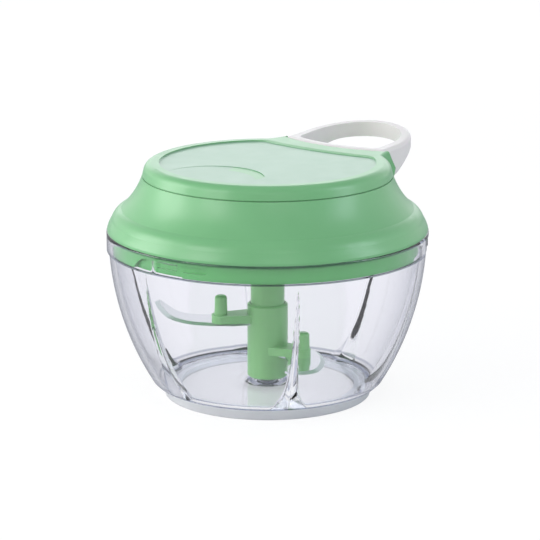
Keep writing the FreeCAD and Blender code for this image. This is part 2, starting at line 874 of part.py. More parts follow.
def make_top_cover():
    cap = turned([(0, cover_under), (bore_r, cover_under), (bore_r, seam_z)] + cover_side() + [(0, top_z)])
    cap = rounded(cap, cover_round, (cover_top_r, top_z))
    cap = cap.fuse(ears().common(slab(0, FAR, FAR, seam_z, top_z)))
    cap = cap.fuse(ring(snap_r - snap_t, snap_r, seam_z - snap_h, cover_under))
    cap = cap.cut(field_hollow()).cut(swoosh())
    cap = cap.cut(dock_space(dock_arc_r, dock_half_w, seam_z - snap_h, top_z))
    dock = dock_space(dock_back_r + snap_gap, dock_outer_w + snap_gap, seam_z - snap_h, cover_under)
    return cap.cut(dock.common(disc(bore_r, seam_z - snap_h, cover_under))).removeSplitter()


# Handle

def oval(centre_x, half_x, half_y, low, high):
    """An elliptical plate, whichever of its half widths is the longer."""
    centre = FreeCAD.Vector(centre_x, 0, low)
    end, side = FreeCAD.Vector(centre_x + half_x, 0, low), FreeCAD.Vector(centre_x, half_y, low)
    other = FreeCAD.Vector(centre_x - half_x, 0, low)
    curve = Part.Ellipse(end, side, centre) if half_x > half_y else Part.Ellipse(side, other, centre)
    return Part.Face(Part.Wire(curve.toShape())).extrude(FreeCAD.Vector(0, 0, high - low))


def ring_plan(arc_r, straight, tip_x, half_width, low, high):
    """A D-shaped plate: curved bar side, straight flanks and an elliptical end."""
    centre_x = bar_x + straight
    shape = oval(centre_x, tip_x - centre_x, half_width, low, high)
    shape = shape.common(slab(centre_x, FAR, half_width, low, high))
    shape = shape.fuse(slab(bar_x, centre_x, half_width, low, high))
    return shape.common(disc(arc_r, low, high, bar_centre_x)).removeSplitter()


def above_handle():
    """Everything over the handle's top line, seen from the side."""
    a = (bar_x, handle_top)
    b = swing(a, 0, top_rise_deg, top_rise_r)
    c = onward(b[1], top_rise_deg, handle_len / 2)
    return [(0, handle_top), a, b, c, (c[0], 2 * top_z), (0, 2 * top_z)]


def below_handle():
    """Everything under the handle's lower line, seen from the side."""
    a = (bar_x + under_straight, handle_under)
    b = swing(a, 0, under_rise_deg, under_rise_r)
    c = onward(b[1], under_rise_deg, under_slope_len)
    d = swing(c, under_rise_deg, under_level_deg, under_level_r)
    e = onward(d[1], under_rise_deg + under_level_deg, handle_len / 4)
    return [(0, handle_under), a, b, c, d, e, (e[0], 0), (0, 0)]


def side_prism(points):
    face = Part.Face(wire(points, lambda a, b: FreeCAD.Vector(a, -2 * handle_half_w, b)))
    return face.extrude(FreeCAD.Vector(0, 4 * handle_half_w, 0))


def make_handle():
    low, high = handle_under, 2 * top_z - handle_under
    loop_straight = handle_straight + loop_reach
    body = ring_plan(bar_arc_r, handle_straight, handle_tip_x, handle_half_w, low, high)
    body = rounded_uprights(body, handle_corner, lambda spot: spot.x < bar_x + handle_straight / 2)
    body = body.cut([side_prism(above_handle()), side_prism(below_handle())])
    crest = []
    for edge in body.Edges:
        middle = (edge.FirstParameter + edge.LastParameter) / 2
        spot, way = edge.valueAt(middle), edge.tangentAt(middle)
        crosses = abs(way.y) > 0.999 and spot.x < handle_tip_x - handle_rim
        if abs(way.z) < 0.5 and spot.z > (handle_top + handle_under) / 2 and not crosses:
            crest.append(edge)
    crest = [e for e in crest if e.BoundBox.XMax > bar_x + handle_straight / 2]
    body = body.makeFillet(handle_edge, crest)
    loop = ring_plan(bar_arc_r - bar_t, loop_straight, handle_tip_x - handle_rim, loop_half_w, low, high)
    loop = rounded_uprights(loop, loop_corner, lambda spot: spot.x < bar_x + handle_straight / 2)
    body = body.cut(loop)
    hole = bar(string_r + cord_hole_clear, 0, knot_x, string_z)
    pocket = bar(knot_r + knot_pocket_clear, knot_x, bar_x + handle_straight, string_z)
    return body.cut([hole, pocket]).removeSplitter()


# Drive shaft and clutch

def make_drive_shaft():
    tube_z = pilot_z + rest_gap
    shoulder_z = lid_floor_z - rest_gap
    shaft = hexagon(hex_af, socket_z + rest_gap, tube_z)
    shaft = shaft.fuse([disc(tube_r, tube_z, shoulder_z), disc(journal_r, shoulder_z, clutch_z),
                        flatted(drive_r, drive_af, clutch_z, clutch_top)])
    core = disc(tube_bore_r, socket_z, socket_z + tube_bore_h)
    pilot = disc(screw_r, clutch_top + washer_t - screw_len - rest_gap, clutch_top)
    return shaft.cut([core, pilot]).removeSplitter()


def make_clutch_wheel():
    """A wheel with curved sprung arms whose pawls stand in the reel's ratchet."""
    arm_r = clutch_disc_r + clutch_arm_gap
    outer_r = arm_r + clutch_arm_t
    wheel = disc(clutch_hub_r, clutch_z, clutch_top).fuse(
        disc(clutch_disc_r, clutch_z, clutch_z + clutch_disc_t))
    step = 360.0 / ratchet_teeth
    head_r = ratchet_root_r - ratchet_tooth * (pawl_gap_deg + pawl_deg) / step - pawl_gap
    top = clutch_z + clutch_arm_h
    root_from = clutch_arm_deg - clutch_root_deg
    arm = sector(arm_r, outer_r, clutch_z, top, pawl_gap_deg, clutch_arm_deg)
    root = sector(clutch_hub_r, outer_r, clutch_z, top, root_from, clutch_arm_deg)
    pawl = sector(arm_r, head_r, clutch_z, top, pawl_gap_deg, pawl_gap_deg + pawl_deg)
    one = arm.fuse([root, pawl])
    wheel = wheel.fuse(around(one, clutch_arms, 0))
    return wheel.cut(flatted(drive_r + drive_clear, drive_af + 2 * drive_clear, clutch_z, clutch_top)) \
        .removeSplitter()


def make_clutch_washer():
    return ring(screw_r + screw_clear, washer_r, clutch_top, clutch_top + washer_t)


def make_clutch_screw():
    return screw(clutch_top + washer_t)


# Reel, spring and bridge

def ratchet_hole():
    """The saw-toothed hole that the pawls push against."""
    step = 2 * math.pi / ratchet_teeth
    points = []
    for k in range(ratchet_teeth):
        angle = k * step
        points.append((ratchet_tip_r * math.cos(angle), ratchet_tip_r * math.sin(angle)))
        points.append((ratchet_root_r * math.cos(angle), ratchet_root_r * math.sin(angle)))
    return plate(points, reel_z, web_z)


def make_reel():
    bore = arbor_journal_r + running_clear
    hub = bore + reel_hub_wall
    lap_r = pocket_r + cover_disc_lap
    drum = turned([
        (bore, web_z), (reel_skirt_r, web_z), (reel_skirt_r, groove_z - reel_rim_t),
        (reel_rim_r, groove_z - reel_rim_t), (reel_rim_r, groove_z), (groove_root_r, groove_z),
        (groove_root_r, groove_top), (reel_rim_r, groove_top), (reel_rim_r, reel_top), (lap_r, reel_top),
        (lap_r, pocket_top), (pocket_r, pocket_top), (pocket_r, pocket_z), (hub, pocket_z),
        (hub, reel_hub_top), (bore, reel_hub_top)])
    skirt = disc(reel_skirt_r, reel_z, web_z).cut(ratchet_hole())
    return drum.fuse(skirt).removeSplitter()


def make_spring_cover():
    return ring(arbor_r + rest_gap, pocket_r + cover_disc_lap - running_clear, pocket_top, reel_top)


def make_recoil_spring():
    """A flat spiral of half circles whose centres change sides, with its inner end in the arbor."""
    low, high = reel_hub_top + rest_gap, pocket_top - rest_gap
    inner = arbor_r + rest_gap + spring_t / 2
    outer = pocket_r - rest_gap - spring_t / 2
    shift = (outer - inner) / (4.0 * spring_turns)
    halves = [(shift if k % 2 else -shift, 1 if k % 2 else -1, inner + shift + 2 * shift * k)
              for k in range(2 * spring_turns)]
    points = [(inner + spring_t / 2, 0)]
    for centre, side, radius in halves:
        reach = radius + spring_t / 2
        points.append(((centre, -side * reach), (centre + side * reach, 0)))
    back = []
    for centre, side, radius in reversed(halves):
        reach = radius - spring_t / 2
        back.append(((centre, -side * reach), (centre - side * reach, 0)))
    points.append((outer - spring_t / 2, 0))
    strip = plate(points + back, low, high)
    tail = Part.makeBox(inner + spring_t / 2 - arbor_step, 1.1 * spring_t, high - low,
                        FreeCAD.Vector(arbor_step, -spring_t, low))
    return strip.fuse(tail).removeSplitter()


def make_spring_arbor():
    foot = disc(arbor_journal_r, web_z + arbor_foot, arbor_z)
    barrel = disc(arbor_r, arbor_z, bridge_z)
    tenon = flatted(arbor_tenon_r, arbor_tenon_af, bridge_z, bridge_top)
    head = disc(arbor_tenon_r + arbor_head_out, bridge_top, bridge_top + arbor_head_t)
    head = rounded(head, arbor_head_t / 2, (arbor_tenon_r + arbor_head_out, bridge_top + arbor_head_t))
    slot = slab(0, arbor_r, arbor_slot / 2, arbor_z, pocket_top)
    return foot.fuse([barrel, tenon, head]).cut(slot).removeSplitter()


def make_bridge_plate():
    arm = slab(0, bridge_post_circle_r, bridge_arm_w / 2, bridge_z, bridge_top)
    arm = arm.fuse(disc(bridge_arm_w / 2, bridge_z, bridge_top, bridge_post_circle_r))
    body = disc(bridge_disc_r, bridge_z, bridge_top).fuse(around(arm, bridge_posts, bridge_post_first_deg))
    body = body.removeSplitter()
    body = rounded_uprights(body, bridge_fillet,
                            lambda spot: abs(math.hypot(spot.x, spot.y) - bridge_disc_r) < 1e-3)
    hole = disc(screw_r + screw_clear, bridge_z, bridge_top, bridge_post_circle_r)
    body = body.cut(around(hole, bridge_posts, bridge_post_first_deg))
    return body.cut(flatted(arbor_tenon_r + press_clear, arbor_tenon_af + 2 * press_clear,
                            bridge_z, bridge_top))


def make_bridge_screws():
    one = screw(bridge_top)
    one.translate(FreeCAD.Vector(bridge_post_circle_r, 0, 0))
    return Part.makeCompound(around(one, bridge_posts, bridge_post_first_deg))


# String

def make_string_coil():
    """The wound string as one ring in the reel's groove."""
    return ring(groove_root_r + running_clear, coil_r, groove_z + coil_side, groove_top - coil_side)


def make_string_lead():
    """The string from the coil, round the mouth of the eyelet and straight out to the knot."""
    off_r = coil_r + coil_gap + string_r
    corner_x = mouth_x - string_bend_back
    off_deg = -math.degrees(math.acos(off_r / corner_x))
    heading = off_deg + 90
    start = onward((0, 0), off_deg, off_r)
    straight = math.hypot(corner_x - start[0], start[1])
    cut_back = string_bend_r * math.tan(math.radians(heading) / 2)
    bend = onward(start, heading, straight - cut_back)
    middle, end = swing(bend, heading, -heading, string_bend_r)
    print("string bend radius", string_bend_r, "heading", round(heading, 1))
    place = level(string_z)
    path = Part.Wire([
        Part.LineSegment(place(*start), place(*bend)).toShape(),
        Part.Arc(place(*bend), place(*middle), place(*end)).toShape(),
        Part.LineSegment(place(*end), place(knot_x, 0)).toShape()])
    way = FreeCAD.Vector(math.cos(math.radians(heading)), math.sin(math.radians(heading)), 0)
    mouth = Part.Wire(Part.makeCircle(string_r, place(*start), way))
    lead = path.makePipeShell([mouth], True, True)
    area = math.pi * string_r ** 2
    print("string lead length", round(path.Length, 2), "volume ratio",
          round(lead.Volume / (area * path.Length), 4))
    return lead


def make_string_eyelet():
    flange_x = mouth_x
    barrel = bar(eyelet_r, flange_x, dock_face_x, string_z)
    flange = bar(eyelet_r + eyelet_flange_out, flange_x, flange_x + eyelet_flange_t, string_z)
    eyelet = barrel.fuse(flange).cut(bar(eyelet_bore_r, flange_x, dock_face_x, string_z))
    mouths = [e for e in eyelet.Edges if hasattr(e.Curve, "Radius") and len(e.Vertexes) == 1
              and abs(e.Curve.Radius - eyelet_bore_r) < 1e-6]
    return eyelet.removeSplitter().makeFillet(eyelet_round, mouths)


def make_string_knot():
    knot = bar(knot_r, knot_x, knot_x + knot_len, string_z)
    return knot.makeFillet(knot_round, [e for e in knot.Edges if len(e.Vertexes) == 1])


def save(name, shape):
    for solid in shape.Solids:
        if not solid.isValid():
            raise ValueError(name + " is not a valid solid")
    shape.exportStep("parts/" + name + ".step")
    print(name, len(shape.Solids), round(shape.Volume, 1))


pieces = {
    "bowl": make_bowl,
    "base_ring": make_base_ring,
    "blade_pin": make_blade_pin,
    "blade_hub": make_blade_hub,
    "upper_blade": upper_blade,
    "lower_blade": lower_blade,
    "lid_body": make_lid_body,
    "shaft_bush": make_shaft_bush,
    "top_cover": make_top_cover,
    "handle": make_handle,
    "drive_shaft": make_drive_shaft,
    "clutch_wheel": make_clutch_wheel,
    "clutch_washer": make_clutch_washer,
    "clutch_screw": make_clutch_screw,
    "reel": make_reel,
    "spring_cover": make_spring_cover,
    "recoil_spring": make_recoil_spring,
    "spring_arbor": make_spring_arbor,
    "bridge_plate": make_bridge_plate,
    "bridge_screws": make_bridge_screws,
    "string_coil": make_string_coil,
    "string_lead": make_string_lead,
    "string_eyelet": make_string_eyelet,
    "string_knot": make_string_knot,
}

os.makedirs("parts", exist_ok=True)
for name, make in pieces.items():
    save(name, make())
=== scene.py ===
import math

import bmesh
import bpy
from mathutils import Matrix, Vector


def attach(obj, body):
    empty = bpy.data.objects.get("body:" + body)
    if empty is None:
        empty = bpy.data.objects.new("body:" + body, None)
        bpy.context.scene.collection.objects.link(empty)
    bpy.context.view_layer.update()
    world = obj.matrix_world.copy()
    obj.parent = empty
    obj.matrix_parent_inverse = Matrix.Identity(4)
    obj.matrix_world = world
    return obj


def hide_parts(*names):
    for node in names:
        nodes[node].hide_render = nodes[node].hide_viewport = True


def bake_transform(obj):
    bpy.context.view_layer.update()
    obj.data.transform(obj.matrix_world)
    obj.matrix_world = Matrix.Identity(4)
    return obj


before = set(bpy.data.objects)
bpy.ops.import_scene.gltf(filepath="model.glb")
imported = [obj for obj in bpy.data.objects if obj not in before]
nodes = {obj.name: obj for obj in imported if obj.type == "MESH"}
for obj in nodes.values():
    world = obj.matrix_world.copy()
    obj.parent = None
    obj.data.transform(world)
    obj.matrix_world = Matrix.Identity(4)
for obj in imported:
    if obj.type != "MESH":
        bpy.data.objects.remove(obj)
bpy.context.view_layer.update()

# The photograph's camera: its aim, distance, height and lens.
AIM = Vector((0.0, 0.0, 0.04855))
CAMERA_DISTANCE = 1.0438
CAMERA_AZIMUTH = math.radians(-52.0)
CAMERA_ELEVATION = math.radians(14.125)
CAMERA_LENS = 179.04
CAMERA_SHIFT = 0.00444

# Studio light. Each lamp: degrees round from the camera, degrees up, distance, width, height, watts, tint.
LAMPS = {
    "left_strip": (-94.0, 16.0, 0.9, 0.5, 0.7, 4.3, (1.0, 1.0, 1.0)),
    "left_front": (-50.0, 26.0, 1.0, 0.4, 0.6, 2.9, (1.0, 1.0, 1.0)),
    "right_strip": (74.0, 24.0, 0.9, 0.26, 0.55, 1.9, (0.80, 0.88, 1.0)),
    "front": (10.0, 28.0, 1.2, 0.6, 0.5, 0.85, (1.0, 1.0, 1.0)),
    "back": (178.0, 16.0, 1.1, 1.0, 0.4, 1.4, (0.93, 0.97, 1.0)),
}
WALL_LIGHT = 0.42
OVERHEAD_LIGHT = 0.8
DIM_TONE = (0.26, 0.27, 0.30, 1.0)
DIM_THROUGH_CLEAR = 0.15
ROOM_TINT = (0.94, 0.96, 1.0, 1.0)
WHITE = (1.0, 1.0, 1.0, 1.0)
FLOOR_TONE = (0.87, 0.87, 0.88, 1.0)
FLOOR_GLOW = 1.05
FLOOR_GLOW_SHARE = 0.8
FLOOR_REACH = 4.0


def rgb(red, green, blue):
    """A colour given as the eight-bit numbers that a screen shows."""
    def linear(value):
        share = value / 255.0
        return share / 12.92 if share <= 0.04045 else ((share + 0.055) / 1.055) ** 2.4
    return (linear(red), linear(green), linear(blue), 1.0)


def placed(name, data):
    """A new object in the scene."""
    made = bpy.data.objects.new(name, data)
    bpy.context.scene.collection.objects.link(made)
    return made


class Wire:
    """A shader value that Python's operators work on. Each operator adds one Math node."""

    def __init__(self, finish, socket):
        self.finish = finish
        self.socket = socket

    def _math(self, operation, *values):
        return self.finish.node("ShaderNodeMath", {"operation": operation}, dict(enumerate(values)))[0]

    def __add__(self, other):
        return self._math("ADD", self, other)

    def __radd__(self, other):
        return self._math("ADD", other, self)

    def __sub__(self, other):
        return self._math("SUBTRACT", self, other)

    def __rsub__(self, other):
        return self._math("SUBTRACT", other, self)

    def __mul__(self, other):
        return self._math("MULTIPLY", self, other)

    def __truediv__(self, other):
        return self._math("DIVIDE", self, other)

    def __abs__(self):
        return self._math("ABSOLUTE", self)

    def above(self, other):
        return self._math("GREATER_THAN", self, other)

    def below(self, other):
        return self._math("LESS_THAN", self, other)

    def sine(self):
        return self._math("SINE", self)

    def clamped(self):
        return self._math("MAXIMUM", self._math("MINIMUM", self, 1.0), 0.0)

    def ramp(self, start, width):
        """Zero up to start and one from start + width on."""
        return ((self - start) / width).clamped()


class Finish:
    """One material and the nodes in it."""

    def __init__(self, name):
        self.material = bpy.data.materials.new(name)
        self.material.use_nodes = True
        self.tree = self.material.node_tree
        self.tree.nodes.clear()

    @classmethod
    def for_tree(cls, tree):
        """The same tools on the node tree of the world."""
        made = cls.__new__(cls)
        made.tree = tree
        return made

    def node(self, kind, settings=None, inputs=None):
        """Adds a node, sets what it is, then fills its inputs. Gives back its outputs."""
        made = self.tree.nodes.new(kind)
        for key, value in (settings or {}).items():
            setattr(made, key, value)
        for key, value in (inputs or {}).items():
            socket = made.inputs[key]
            if isinstance(value, Wire):
                self.tree.links.new(value.socket, socket)
            else:
                socket.default_value = value
        return [Wire(self, output) for output in made.outputs]

    def place(self):
        """Object coordinates in metres."""
        return self.node("ShaderNodeTexCoord")[3]

    def xyz(self, vector):
        return self.node("ShaderNodeSeparateXYZ", None, {0: vector})

    def stretched(self, vector, scale):
        return self.node("ShaderNodeMapping", None, {"Vector": vector, "Scale": scale})[0]

    def noise(self, vector, scale, detail):
        return self.node("ShaderNodeTexNoise", None, {"Vector": vector, "Scale": scale, "Detail": detail})[0]

    def mix(self, share, first, second):
        """A colour between two colours."""
        return self.node("ShaderNodeMix", {"data_type": "RGBA"}, {0: share, 6: first, 7: second})[2]

    def bump(self, height, distance, strength):
        return self.node("ShaderNodeBump", None, {"Height": height, "Distance": distance, "Strength": strength})[0]

    def surface(self, inputs):
        shader = self.node("ShaderNodeBsdfPrincipled", None, inputs)[0]
        self.node("ShaderNodeOutputMaterial", None, {"Surface": shader})
        return self.material


# Sizes from the CAD, in millimetres. MM turns them into Blender's metres.
MM = 0.001

# The bowl: foot, floor, wall and collar.
TONGUE_R, TONGUE_IN_R, TONGUE_Z = 39.02, 36.62, 1.0
SEAT_R, SEAT_Z = 41.82, 4.2
WALL_FOOT_Z = 6.2
LEDGE_MIDDLE = (43.82, 4.85)
UNDER_Z, FLOOR_Z, FLOOR_FILLET = 2.2, 4.6, 8.0
BOSS_SLOPE, BOSS_Z = ((8.5, 4.72), (6.9, 5.3), (5.7, 5.95), (4.9, 6.1)), 6.1
WALL_T, WALL_TOP_R, WALL_ARC_R, WALL_ARC_Z = 2.2, 61.6, 110.9, 64.2
COLLAR_R, COLLAR_IN_R, COLLAR_Z = 62.3, 60.1, 58.0
RIM_Z, RIM_ROUND = 65.4, 0.5

# Its ribs, the lugs inside its collar and the windows outside it.
RIB_COUNT, RIB_FIRST_DEG, RIB_SPAN, RIB_SEAT = 6, 48.8, 49.4, 1.1
RIB_W, RIB_FLARE_W, RIB_DEPTH, RIB_FLARE_DEPTH, RIB_FLARE_H = 4.6, 37.0, 3.2, 4.0, 5.2
LUG_COUNT, LUG_DEG, LUG_HALF_DEG = 3, 180.0, 4.15
LUG_LOW, LUG_HIGH, LUG_OUT = 60.75, 62.85, 1.2
WINDOW_DEG, WINDOW_HALF_DEG, WINDOW_TOP, WINDOW_DEPTH = 181.7, 7.0, 63.6, 0.7

# How the scene builds the bowl. The edges of its windows and lugs slope over twice STEP in height, and its floor
# is plain within FLAT_R. The next three tell the surfaces apart: how exactly a height or radius has to agree, how
# near the collar's outside counts as on it, and how far inside the outer wall the inner one is taken to begin.
STEP, FLAT_R = 0.05, 10.0
TOUCH, NEAR_COLLAR, WITHIN_WALL = 0.01, 0.1, 1.0

# The rings in its flat faces, its rows and columns of faces, how close columns stand at a rib, and how soft its
# forms are.
UNDER_RINGS, FLOOR_RINGS = (0.0, 20.0), (28.0, 18.0)
OUTER_ROWS, INNER_ROWS, FILLET_ROWS, RIM_ROWS = 18, 46, 16, 4
BOWL_COLUMNS = 540
RIB_CROWDING = 0.7
RIB_RIDGE_ROUND = 0.2
RIB_BLEND = 0.25
RIB_FULLNESS, RIB_FOOT_FULLNESS = 1.3, 0.45
COLUMN_SHIFT_H = 6.0
LUG_SLOPE_DEG = 0.3
WINDOW_SLOPE_DEG = 1.8

# Heights of lines of painted shade on the clear wall, at its rim, collar and foot, and half of each line's width.
PAINTED_SHADE_LINES = ((65.0, 0.9), (58.0, 0.5), (5.2, 0.6))

# The base ring's groove and top face, which get painted light, the shallow dish in the lid's cover, which gets a
# painted reflection, and how level a blade's bevel lies.
GROOVE_R, RING_TOP_R, SOLE_Z = 39.4, 41.3, 0.5
DISH_R, DISH_Z = 42.5, 91.1
BEVEL_LEAN = (0.3, 0.965)

# The string: where it leaves the coil, where its two runs through the eyelet would meet, and the knot.
STRING_D = 1.2
STRING_START = Vector((14.63, -16.30, 82.5)) * MM
STRING_CORNER = Vector((32.8, 0.0, 82.5)) * MM
STRING_KNOT = Vector((39.4, 0.0, 82.5)) * MM
BEND_R = 5.0
STRING_SIDES, START_STEPS, BEND_STEPS, END_STEPS = 14, 16, 8, 24


# Finishes

def moulded(name, colour, shade, gloss, grain=0.16, glow=0.12, low=None, dish_painted_reflection=None):
    """Injection-moulded plastic: faint flow shading, a fine orange-peel skin and uneven gloss.

    Low is a tone painted below the bowl's rim: painted light, a brighter, more saturated green for the light that
    reaches the lid's skirt through the bowl. The tone given for the cover's shallow field is a painted reflection,
    greyer.
    """
    f = Finish(name)
    place = f.place()
    flow = f.noise(place, 38.0, 3.0)
    skin = f.noise(place, 1500.0, 2.0)
    dimple = f.noise(place, 420.0, 2.0)
    rub = f.noise(place, 160.0, 4.0)
    tone = f.mix((flow * 1.6 - 0.3).clamped(), colour, shade)
    x, y, z = f.xyz(place)
    # Painted light: a brighter, more saturated green below the bowl's rim.
    if low is not None:
        tone = f.mix(z.below(RIM_Z * MM), tone, low)
    # Painted reflection: a greyer tone on the floor of the cover's shallow field.
    if dish_painted_reflection is not None:
        inside = (x * x + y * y).below((DISH_R * MM) ** 2)
        on_its_floor = z.above((DISH_Z - 0.2) * MM) * z.below((DISH_Z + 0.2) * MM)
        tone = f.mix(inside * on_its_floor, tone, dish_painted_reflection)
    rough = gloss + (rub - 0.5) * 0.1
    relief = f.bump(skin * 0.4 + dimple, 0.00004, grain)
    return f.surface({
        "Base Color": tone, "Roughness": rough, "Normal": relief, "IOR": 1.54,
        "Subsurface Weight": glow, "Subsurface Radius": (0.6, 1.0, 0.6), "Subsurface Scale": 0.0012,
        "Sheen Weight": 0.18, "Sheen Roughness": 0.4, "Sheen Tint": (0.88, 0.94, 1.0, 1.0)})


def band(value, middle, half_width):
    """One near a middle, fading to nothing half_width away from it."""
    steepness = 1.6
    return (steepness - abs(value - middle) * (steepness / half_width)).clamped()


def clear_moulding(name):
    """Clear rigid plastic: polished, slightly wavy from the mould, with painted shade, grey-blue when seen along a
    wall.
    """
    f = Finish(name)
    place = f.place()
    height = f.xyz(place)[2]
    wave = f.noise(place, 42.0, 2.0)
    haze = f.noise(place, 240.0, 3.0)
    edge = f.node("ShaderNodeLayerWeight", None, {"Blend": 0.5})[1]
    upward = abs(f.xyz(f.node("ShaderNodeNewGeometry")[1])[2])
    level = upward.ramp(0.6, 0.3)
    # Painted shade: grey-blue where one looks along a wall.
    depth = edge.ramp(0.42, 0.58) * level + edge.ramp(0.22, 0.78) * (1.0 - level)
    # Painted shade: darker lines at the rim, collar and foot.
    lines = sum(band(height, z * MM, half * MM) for z, half in PAINTED_SHADE_LINES).clamped()
    tone = f.mix((depth * depth + lines * 0.8).clamped(), rgb(248, 248, 252), rgb(92, 102, 134))
    relief = f.bump(wave, 0.00025, 0.04)
    return f.surface({
        "Base Color": tone, "Roughness": 0.012 + haze * 0.02, "Normal": relief,
        "IOR": 1.5, "Transmission Weight": 1.0, "Specular IOR Level": 0.3})


def soft_grip(name):
    """Grey translucent rubber, matt, with a fine cast texture. Painted light glows in its groove and on its top
    face.
    """
    f = Finish(name)
    place = f.place()
    cast = f.noise(place, 1800.0, 3.0)
    cloud = f.noise(place, 60.0, 3.0)
    tone = f.mix((cloud * 1.5 - 0.25).clamped(), rgb(212, 213, 215), rgb(200, 201, 204))
    x, y, z = f.xyz(place)
    reach = x * x + y * y
    groove = reach.below((GROOVE_R * MM) ** 2) * z.above(SOLE_Z * MM)
    top_face = reach.below((RING_TOP_R * MM) ** 2) * z.above((SEAT_Z - 0.1) * MM)
    # Painted light: a glow in the groove and on the top face under the bowl, for light that comes through the
    # rubber.
    painted_glow = f.mix((groove + top_face).clamped(), rgb(0, 0, 0), rgb(160, 163, 170))
    return f.surface({
        "Base Color": tone, "Roughness": 0.42 + cloud * 0.1, "Normal": f.bump(cast, 0.00005, 0.5),
        "Emission Color": painted_glow, "Emission Strength": 1.0,
        "Subsurface Weight": 0.35, "Subsurface Radius": (1.0, 1.0, 1.0), "Subsurface Scale": 0.002,
        "IOR": 1.48})


def blade_steel(name):
    """Polished sheet steel. The ground bevel, which leans off the level, is matt and darker."""
    f = Finish(name)
    place = f.place()
    facing = f.xyz(f.node("ShaderNodeNewGeometry")[3])[2]
    lean = abs(facing)
    bevel = lean.above(BEVEL_LEAN[0]) * lean.below(BEVEL_LEAN[1])
    draw = f.noise(f.stretched(place, (9.0, 1.0, 1.0)), 900.0, 3.0)
    smear = f.noise(place, 70.0, 4.0)
    tone = f.mix(bevel, rgb(238, 240, 244), rgb(224, 230, 233))
    rough = 0.09 + smear * 0.07 + bevel * 0.25
    return f.surface({
        "Base Color": tone, "Metallic": 1.0 - bevel * 0.35, "Roughness": rough,
        "Normal": f.bump(draw, 0.00001, 0.4)})


def turned_steel(name, colour, gloss):
    """Turned or drawn steel for the pin, the screws and the small fittings."""
    f = Finish(name)
    place = f.place()
    lines = f.noise(f.stretched(place, (1.0, 1.0, 12.0)), 1400.0, 3.0)
    stain = f.noise(place, 300.0, 3.0)
    tone = f.mix(stain * 0.6, colour, rgb(150, 152, 158))
    return f.surface({
        "Base Color": tone, "Metallic": 1.0, "Roughness": gloss + lines * 0.12,
        "Normal": f.bump(lines, 0.00001, 0.5)})


def wound(name):
    """The string's turns on the reel: rings side by side, each braided."""
    f = Finish(name)
    x, y, z = f.xyz(f.place())
    turns = abs((z * (math.pi / (STRING_D * MM))).sine())
    strand = ((x + y) * 4000.0 + z * 2500.0).sine()
    fuzz = f.noise(f.place(), 5000.0, 3.0)
    # Painted shade: darker in the grooves between the turns.
    tone = f.mix(turns, rgb(176, 172, 162), rgb(232, 229, 222))
    return f.surface({
        "Base Color": tone, "Roughness": 0.74 + fuzz * 0.15,
        "Normal": f.bump(turns * 3.0 + strand * 0.4 + fuzz * 0.4, 0.0002, 1.0)})


def braided(name):
    """Braided string: crossing strands as diagonal ridges."""
    f = Finish(name)
    x, y, z = f.xyz(f.place())
    strands = 5200.0
    weave = ((x + y + z) * strands).sine() * ((x - y - z) * strands).sine()
    fuzz = f.noise(f.place(), 5000.0, 3.0)
    # Painted shade: darker in the hollows between the crossing strands.
    tone = f.mix((weave * 0.5 + 0.5).clamped(), rgb(203, 200, 192), rgb(236, 234, 228))
    return f.surface({
        "Base Color": tone, "Roughness": 0.72 + fuzz * 0.15, "Normal": f.bump(weave + fuzz * 0.4, 0.00008, 0.8)})


# The lid's green gets painted light below the bowl's rim and a painted reflection in the cover's shallow field.
green = moulded("green_moulding", rgb(118, 180, 126), rgb(111, 173, 119), 0.32, low=rgb(100, 192, 108),
                 dish_painted_reflection=rgb(125, 168, 138))
# A lighter copy of the same green plastic: painted light, for the parts that stand in the brightly lit bowl.
green_painted_light = moulded("green_painted_light", rgb(140, 202, 132), rgb(131, 194, 124), 0.34)
white = moulded("white_moulding", rgb(227, 223, 221), rgb(219, 215, 213), 0.40, 0.14, 0.2)
nylon = moulded("nylon_moulding", rgb(224, 224, 218), rgb(212, 212, 206), 0.45, 0.2, 0.2)
clear = clear_moulding("clear_moulding")
grip = soft_grip("soft_grip")
polished = blade_steel("blade_steel")
steel = turned_steel("turned_steel", rgb(196, 198, 203), 0.24)
spring = turned_steel("spring_steel", rgb(120, 126, 142), 0.3)
braid = braided("string_braid")
coil = wound("wound_string")

dress = {
    "bowl": clear, "base_ring": grip, "blade_pin": steel, "blade_hub": green_painted_light,
    "upper_blade": polished, "lower_blade": polished, "lid_body": green, "shaft_bush": nylon,
    "top_cover": green, "handle": white, "drive_shaft": green_painted_light, "clutch_wheel": nylon,
    "clutch_washer": steel, "clutch_screw": steel, "reel": nylon, "spring_cover": nylon,
    "recoil_spring": spring, "spring_arbor": steel, "bridge_plate": nylon, "bridge_screws": steel,
    "string_coil": coil, "string_lead": braid, "string_eyelet": nylon, "string_knot": braid,
}
for name, material in dress.items():
    mesh = nodes[name].data
    mesh.materials.clear()
    mesh.materials.append(material)


# Pieces

def piece(name, form, material, body, sharp_deg):
    """A finished mesh as an object at the origin, smooth but for its sharp edges."""
    data = bpy.data.meshes.new(name)
    form.to_mesh(data)
    form.free()
    data.polygons.foreach_set("use_smooth", [True] * len(data.polygons))
    data.set_sharp_from_angle(angle=math.radians(sharp_deg))
    data.materials.append(material)
    made = placed(name, data)
    if body:
        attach(made, body)
    return made


def on_wall(height, inset=0.0):
    """Radius of the bowl's outer wall at a height, or of a surface inset from it."""
    return WALL_TOP_R - WALL_ARC_R + math.sqrt((WALL_ARC_R - inset) ** 2 - (height - WALL_ARC_Z) ** 2)


def arc(centre, radius, from_deg, to_deg, steps):
    """Points of an outline along an arc, its ends among them."""
    turns = [math.radians(from_deg + (to_deg - from_deg) * k / steps) for k in range(steps + 1)]
    return [(centre[0] + radius * math.cos(a), centre[1] + radius * math.sin(a)) for a in turns]


def rows(low, high, count):
    """Even steps from one height to another, both among them."""
    return [low + (high - low) * k / count for k in range(count + 1)]


